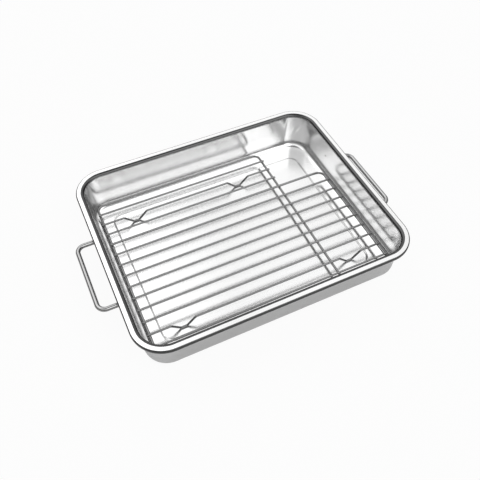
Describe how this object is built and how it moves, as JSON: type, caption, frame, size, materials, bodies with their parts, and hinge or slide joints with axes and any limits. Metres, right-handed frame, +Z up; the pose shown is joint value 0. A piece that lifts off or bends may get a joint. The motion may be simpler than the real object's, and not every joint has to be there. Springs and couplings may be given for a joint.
{
  "type": "roasting pan with rack",
  "caption": "Rectangular stainless roasting pan with turned-down rim, wire handles and a welded wire rack that stands inside on bent feet and lifts out.",
  "frame": {"origin": "middle of the pan on the plane of the flat border of its base, which it stands on", "axes": "+X along the pan to the right handle, +Y to the back, where the rack's notch is, +Z up"},
  "size_m": [0.4502, 0.323, 0.0625],
  "materials": {
    "pan_steel": "mill-bright stainless sheet, lightly polished",
    "handle_steel": "electropolished stainless wire",
    "rack_wire": "bright plated steel wire"
  },
  "bodies": {
    "pan": {"pan_body": "pan_steel", "handle_left": "handle_steel", "handle_right": "handle_steel"},
    "rack": {"rack_frame": "rack_wire", "rack_bar_01": "rack_wire", "rack_bar_02": "rack_wire", "rack_bar_03": "rack_wire", "rack_bar_05": "rack_wire", "rack_bar_06": "rack_wire", "rack_bar_07": "rack_wire", "rack_bar_08": "rack_wire", "rack_bar_09": "rack_wire", "rack_bar_10": "rack_wire", "rack_bar_11": "rack_wire", "rack_bar_12": "rack_wire", "rack_bar_13": "rack_wire"}
  },
  "joints": [
    {"name": "rack_lift", "type": "slide", "parent": "pan", "child": "rack", "axis": [0, 0, 1], "range_m": [0, 0.09]}
  ]
}
